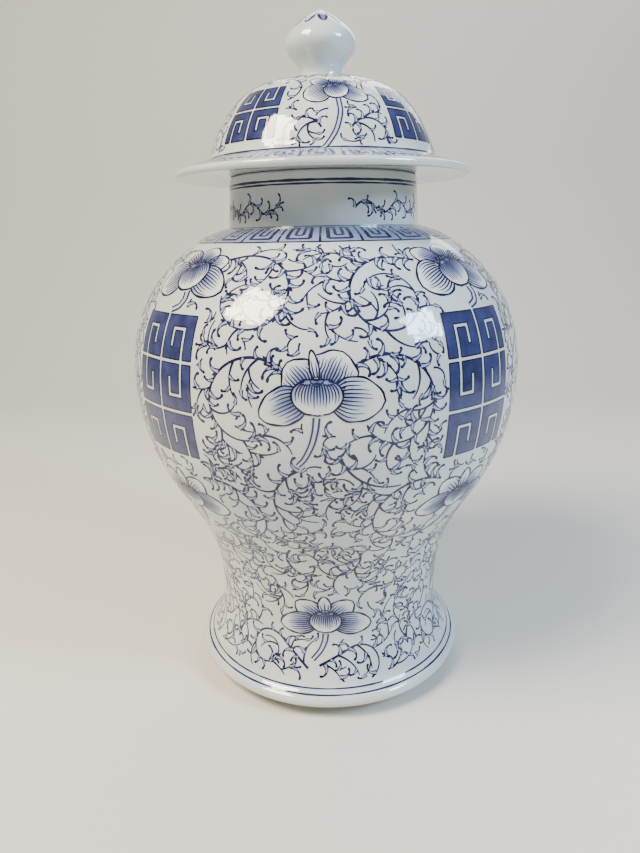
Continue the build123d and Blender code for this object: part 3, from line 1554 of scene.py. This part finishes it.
@dataclass
class Jar:
    """The jar: turned skin, bare foot ring, and everything painted on it (sizes in mm)."""

    finishes: Finishes
    turned: Workshop
    painted: Workshop
    turn: float = -2.3
    nodes: tuple[str, ...] = ("jar_foot", "jar_lower_body", "jar_upper_body", "jar_neck")
    foot_lip: Point = (102.6, 14.0)
    band_units: int = 22
    band_heights: Point = (319.3, 327.2)
    lines: tuple[Triple, ...] = (
        (319.0, 1.5, 1.0),
        (327.6, 1.7, 1.0),
        (351.9, 1.0, 0.85),
        (354.1, 1.4, 1.0),
        (21.7, 1.0, 0.8),
        (19.0, 1.1, 0.85),
    )
    ground_heights: Point = (25.5, 317.5)
    flowers: tuple[tuple[str, Flower, float, float, float], ...] = (
        ("jar_belly_flowers", BELLY_FLOWER, 1.0, 0.0, 239.0),
        ("jar_foot_flowers", FOOT_FLOWER, 1.1, 0.0, 67.0),
        ("jar_shoulder_flowers", SHOULDER_FLOWER, 1.12, 45.0, 303.0),
        ("jar_lower_flowers", FOOT_FLOWER, 1.15, 45.0, 162.0),
    )
    panel_side: float = 57.0
    panel_height: float = 239.0
    neck_ground_heights: Point = (329.5, 350.5)
    neck_wave_height: float = 338.0
    seed: int = 17
    scrolls: tuple[Scroll, ...] = (
        Scroll(32, 308, 168, 26, 440, 0.55, mirrored=False, lead=13),
        Scroll(-33, 309, 12, -28, 440, 0.5, mirrored=False, lead=13),
        Scroll(6.5, 250.5, 48, -31, 330, 0.5),
        Scroll(34, 182, 160, 33, 220, 0.4),
        Scroll(5, 206, -75, 34, 95, mirrored=False),
        Scroll(-5, 196, 200, 30, 130, 0.4, mirrored=False),
        Scroll(42, 142, 235, -22, 200, 0.4),
        Scroll(12, 130, -50, -17, 270, 0.4),
        Scroll(27, 92, 150, 14, 290, 0.4),
        Scroll(-8, 33, 136, 14, 420, 0.45, mirrored=False, lead=29),
        Scroll(-3, 35, 32, -13.5, 420, 0.45, mirrored=False, lead=26),
        Scroll(42, 38, 100, -17, 330, 0.4),
    )

    def build(self) -> None:
        """Builds and dresses every piece of the jar."""
        path = glazed_skin("jar_glazed_skin", "jar", self.nodes, self.turned, self.finishes.glaze)
        dress_clay("jar_foot_ring", self.finishes.clay)
        low = int(np.hypot(*(path - np.array(self.foot_lip) * MM).T).argmin())
        high = int(path[:, 1].argmax())
        self.chart = Chart("jar_chart", path[low : high + 1])
        turn = math.radians(self.turn)
        self.painter = Painter("jar", self.chart, turn, self.finishes.cobalt, self.painted)
        self.paint_borders()
        ground = self.paint_motifs()
        ground.lay(self.scrolls)
        ground.branch(13 * MM, (12 * MM, 26 * MM), 25 * MM, 9 * MM, 3)
        ground.fill(2500)
        ground.leaf_out(6.4 * MM)
        self.painter.vines("jar", ground)
        self.paint_neck()
        bpy.data.objects.remove(self.chart.object)

    def paint_borders(self) -> None:
        """Lays the key band on the shoulder and the lines at neck, shoulder and foot."""
        low, high = (self.chart.at(height=z * MM) for z in self.band_heights)
        unit = key_unit(TAU / self.band_units, high - low)
        self.painter.lay("jar_key_band", unit, [(0, low, 0)], 0.1 * MM, self.band_units, True)
        lines = [(self.chart.at(height=z * MM), width * MM, tone) for z, width, tone in self.lines]
        self.painter.rings("jar_lines", lines)

    def paint_motifs(self) -> Field:
        """Lays the flowers and the fret panels.

        Returns:
            The ground that is left for vines.
        """
        at = self.chart.at
        low, high = (at(height=z * MM) for z in self.ground_heights)
        ground = Field(self.chart, low, high, TAU / 4, self.seed)
        dice = random.Random(self.seed)
        for name, flower, size, degrees, height in self.flowers:
            art = flower.draw(dice).scaled(size)
            x, v = math.radians(degrees), at(height=height * MM)
            self.painter.lay(name, art, [(x, v, 0)], 0.12 * MM)
            ground.stamp_art(art, x, v, 1.2 * MM)
        panel = fret_panel(2, 3, self.panel_side, dice)
        x, v = TAU / 8, at(height=self.panel_height * MM)
        self.painter.lay("jar_fret_panels", panel, [(x, v, 0)], 0.12 * MM)
        ground.stamp_art(panel, x, v, 1.3 * MM)
        return ground

    def paint_neck(self) -> None:
        """Lays the leafy sprays on the neck, blank between them."""
        at = self.chart.at
        low, high = (at(height=z * MM) for z in self.neck_ground_heights)
        ground = Field(self.chart, low, high, TAU / 4, self.seed + 1, 0.72)
        ground.wave(math.radians(19), at(height=self.neck_wave_height * MM), 64 * MM, 0.75, 30 * MM)
        ground.leaf_out(4.2 * MM, 0.7 * MM)
        self.painter.vines("neck", ground)


@dataclass
class Lid:
    """The lid: turned skin with its knob, the bare collar, and its painting (sizes in mm)."""

    finishes: Finishes
    turned: Workshop
    painted: Workshop
    turn: float = 6.5
    nodes: tuple[str, ...] = ("lid_shell", "lid_knob")
    crown: Point = (14.6, 416.8)
    knob_point_radius: float = 1.2
    band_units: int = 24
    band_radii: Point = (96.5, 79.0)
    band_tone: float = 0.62
    line: Triple = (370.2, 1.1, 0.8)
    ground_height: float = 371.5
    ground_radius: float = 17.0
    flower: Flower = replace(
        SHOULDER_FLOWER, stalk=((3, -12), (4, -24), (0, -38), (-8, -50), (-13, -54))
    )
    flower_size: float = 0.66
    flower_height: float = 403.5
    panel_side: float = 36.0
    panel_height: float = 394.0
    knob_petals: int = 10
    petal_height: float = 448.8
    seed: int = 29
    scrolls: tuple[Scroll, ...] = (
        Scroll(7, 381, 62, -13, 330, 0.45, 1.3),
        Scroll(24, 373, 30, -12, 250, 0.4, 1.2),
        Scroll(34, 411, 170, 12, 220, 0.3, 1.1),
    )

    def build(self) -> None:
        """Builds and dresses every piece of the lid."""
        path = glazed_skin("lid_glazed_skin", "lid", self.nodes, self.turned, self.finishes.glaze)
        dress_clay("lid_collar", self.finishes.clay)
        brim = int(path[:, 0].argmax())
        crown = brim + int(np.hypot(*(path[brim:] - np.array(self.crown) * MM).T).argmin())
        top = max(i for i in range(crown + 1, len(path)) if path[i, 0] > self.knob_point_radius * MM)
        self.chart = Chart("lid_chart", path[brim : crown + 1])
        knob = Chart("knob_chart", path[crown : top + 1])
        turn = math.radians(self.turn)
        self.painter = Painter("lid", self.chart, turn, self.finishes.cobalt, self.painted)
        self.paint_dome()
        self.paint_knob(Painter("lid", knob, turn, self.finishes.cobalt, self.painted))
        bpy.data.objects.remove(self.chart.object)
        bpy.data.objects.remove(knob.object)

    def paint_dome(self) -> None:
        """Lays the brim's band, the line over it, flowers, panels and vines."""
        at = self.chart.at
        low, high = (at(radius=r * MM) for r in self.band_radii)
        unit = key_unit(TAU / self.band_units, high - low)
        unit.tone = [tone * self.band_tone for tone in unit.tone]
        self.painter.lay("lid_key_band", unit, [(0, low, 0)], 0.1 * MM, self.band_units, True)
        height, width, tone = self.line
        self.painter.rings("lid_lines", [(at(height=height * MM), width * MM, tone)])
        low, high = at(height=self.ground_height * MM), at(radius=self.ground_radius * MM)
        ground = Field(self.chart, low, high, TAU / 4, self.seed, 0.72)
        dice = random.Random(self.seed)
        flower, v = self.flower.draw(dice).scaled(self.flower_size), at(height=self.flower_height * MM)
        self.painter.lay("lid_flowers", flower, [(0, v, 0)], 0.12 * MM)
        ground.stamp_art(flower, 0, v, 1.2 * MM)
        panel, v = fret_panel(2, 2, self.panel_side, dice), at(height=self.panel_height * MM)
        self.painter.lay("lid_fret_panels", panel, [(TAU / 8, v, 0)], 0.12 * MM)
        ground.stamp_art(panel, TAU / 8, v, 1.2 * MM)
        ground.lay(self.scrolls)
        ground.branch(8 * MM, (6 * MM, 14 * MM), 20 * MM, 6 * MM, 3)
        ground.fill(900)
        ground.leaf_out(4.6 * MM, 1.0 * MM)
        self.painter.vines("lid", ground)

    def paint_knob(self, painter: Painter) -> None:
        """Lays petal tips that hang over the bud-shaped knob from its point.

        Args:
            painter: lays them on the knob's chart.
        """
        art = FlatArt()
        low, high = painter.chart.at(height=self.petal_height * MM), float(painter.chart.v[-1])
        share, across = np.meshgrid(np.linspace(0, 1, 15), np.linspace(-1, 1, 11), indexing="ij")
        rise = share**1.6
        half = math.pi / self.knob_petals * 0.97 * np.clip(share / 0.42, 0, 1) ** 0.8
        rows = np.stack([across * half, low + (high - low) * rise], -1)
        art.sheet(rows, 0.5 - 0.15 * share, np.abs(across))
        painter.lay("knob_petal_tips", art, [(0, 0, 0)], 0.12 * MM, self.knob_petals, True)


@dataclass
class Studio:
    """The camera, the lamps and the floor (places in metres)."""

    lens: float = 26.88
    camera_at: Triple = (-0.00168, -0.46526, 0.32283)
    pitch: float = 16.78
    yaw: float = 0.434
    roll: float = -1.1
    aim_height: float = 0.22
    room_strength: float = 0.27
    lamps: tuple[tuple[str, Triple, float, float, Triple], ...] = (
        ("key", (-0.8, -0.55, 1.35), 0.6, 33.0, (1.0, 0.87, 0.68)),
        ("fill", (1.05, -0.6, 0.95), 0.45, 15.5, (0.64, 0.8, 1.0)),
        ("back", (0.3, 1.2, 1.2), 1.2, 8.0, (1.0, 1.0, 1.0)),
    )

    def build(self) -> None:
        """Sets up the whole studio."""
        self.camera()
        for lamp in self.lamps:
            self.lamp(*lamp)
        world = bpy.data.worlds.new("Room light")
        bpy.context.scene.world = world
        world.use_nodes = True
        light = world.node_tree.nodes["Background"]
        light.inputs["Color"].default_value = (0.9, 0.93, 1.0, 1.0)
        light.inputs["Strength"].default_value = self.room_strength
        bpy.context.scene.view_settings.look = "AgX - Medium High Contrast"
        self.floor()

    def camera(self) -> None:
        """Sets up the camera, level with the lid and looking a little down."""
        pitch, yaw, roll = (math.radians(a) for a in (self.pitch, self.yaw, self.roll))
        right = Vector((math.cos(yaw), math.sin(yaw), 0))
        ahead = Vector((-math.sin(yaw), math.cos(yaw), 0))
        forward = ahead * math.cos(pitch) - Vector((0, 0, math.sin(pitch)))
        up = ahead * math.sin(pitch) + Vector((0, 0, math.cos(pitch)))
        cos, sin = math.cos(roll), math.sin(roll)
        right, up = right * cos + up * sin, up * cos - right * sin
        data = bpy.data.cameras.new("Camera")
        data.lens = self.lens
        data.clip_start = 0.01
        made = bpy.data.objects.new("Camera", data)
        heading = Matrix((right, up, -forward)).transposed().to_4x4()
        made.matrix_world = Matrix.Translation(self.camera_at) @ heading
        bpy.context.scene.collection.objects.link(made)
        bpy.context.scene.camera = made

    def lamp(self, name: str, place: Triple, size: float, power: float, tint: Triple) -> None:
        """Adds a square softbox that faces the jar's middle.

        Args:
            name: the lamp's name.
            place: where it hangs.
            size: its side in metres.
            power: in watts.
            tint: its colour.
        """
        data = bpy.data.lights.new(name, "AREA")
        data.size, data.energy, data.color = size, power, tint
        made = bpy.data.objects.new(name, data)
        made.location = place
        aim = Vector((0, 0, self.aim_height)) - Vector(place)
        made.rotation_euler = aim.to_track_quat("-Z", "Y").to_euler()
        bpy.context.scene.collection.objects.link(made)

    def floor(self) -> None:
        """Adds the pale floor, curving up into a backdrop."""
        bend = np.linspace(0.1, math.pi / 2, 12)
        ys = [-3.0, 0.8, *(0.8 + 0.5 * math.sin(a) for a in bend), 1.3]
        zs = [0.0, 0.0, *(0.5 - 0.5 * math.cos(a) for a in bend), 3.0]
        points = [(x, y, z) for y, z in zip(ys, zs) for x in (-3.0, 3.0)]
        faces = [(i, i + 1, i + 3, i + 2) for i in range(0, len(points) - 2, 2)]
        floor = mesh_object("floor", points, faces=faces)
        floor.data.shade_smooth()
        made = bpy.data.materials.new("Pale paper")
        made.use_nodes = True
        shader = made.node_tree.nodes["Principled BSDF"]
        shader.inputs["Base Color"].default_value = ink(216, 214, 208)
        shader.inputs["Roughness"].default_value = 0.9
        floor.data.materials.append(made)


def main() -> None:
    """Builds the jar, its lid and the studio."""
    logging.basicConfig(level=logging.INFO, format="%(name)s: %(message)s")
    finishes = Finishes()
    turned, painted = turned_tree(), painted_tree()
    Jar(finishes, turned, painted).build()
    Lid(finishes, turned, painted).build()
    Studio().build()


if __name__ == "__main__":
    main()
